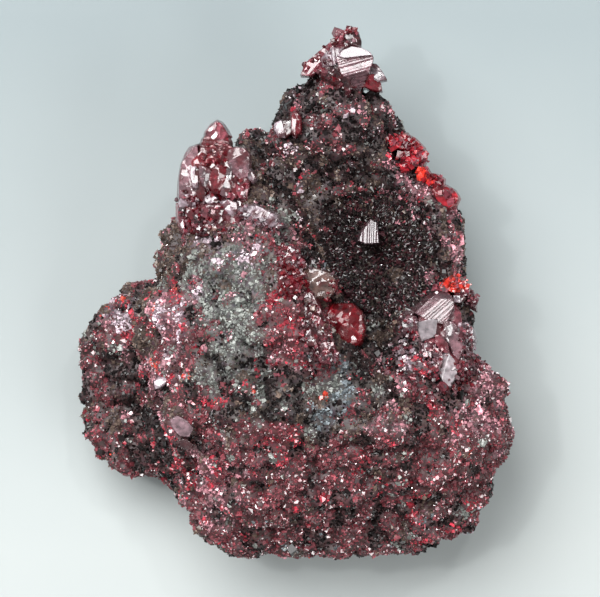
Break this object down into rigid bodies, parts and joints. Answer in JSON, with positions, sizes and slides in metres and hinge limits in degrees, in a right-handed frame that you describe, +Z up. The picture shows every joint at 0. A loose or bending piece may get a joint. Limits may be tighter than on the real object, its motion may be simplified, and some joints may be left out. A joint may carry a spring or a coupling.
{
  "type": "cinnabar mineral specimen",
  "caption": "Dark drusy rock with a crystal-lined hollow and clusters of deep red, faceted cinnabar crystals, lying on its flat-trimmed back.",
  "frame": {"origin": "on the flat face trimmed on the specimen's back, which it rests on, near the middle of that face", "axes": "+Z up, out of the crystal-bearing face; +Y from the rounded end towards the summit crystal; +X to the right of that"},
  "size_m": [0.0328, 0.04, 0.0176],
  "materials": {
    "drusy_rock": "rough granular stone crusted with tiny grey and red crystals",
    "dark_druse": "tiny glossy brown-black crystals",
    "cinnabar": "deep red translucent crystal with a near-metallic shine"
  },
  "bodies": {
    "root": {"matrix_rock": "drusy_rock", "hollow_crust": "dark_druse", "summit_crystal": "cinnabar", "left_crystal_cluster": "cinnabar", "notch_crystal": "cinnabar", "rim_crystal_cluster": "cinnabar", "centre_crystal_cluster": "cinnabar", "gem_crystal": "cinnabar", "right_crystal_cluster": "cinnabar", "left_flake": "cinnabar", "left_spark_crystal": "cinnabar"}
  },
  "joints": []
}
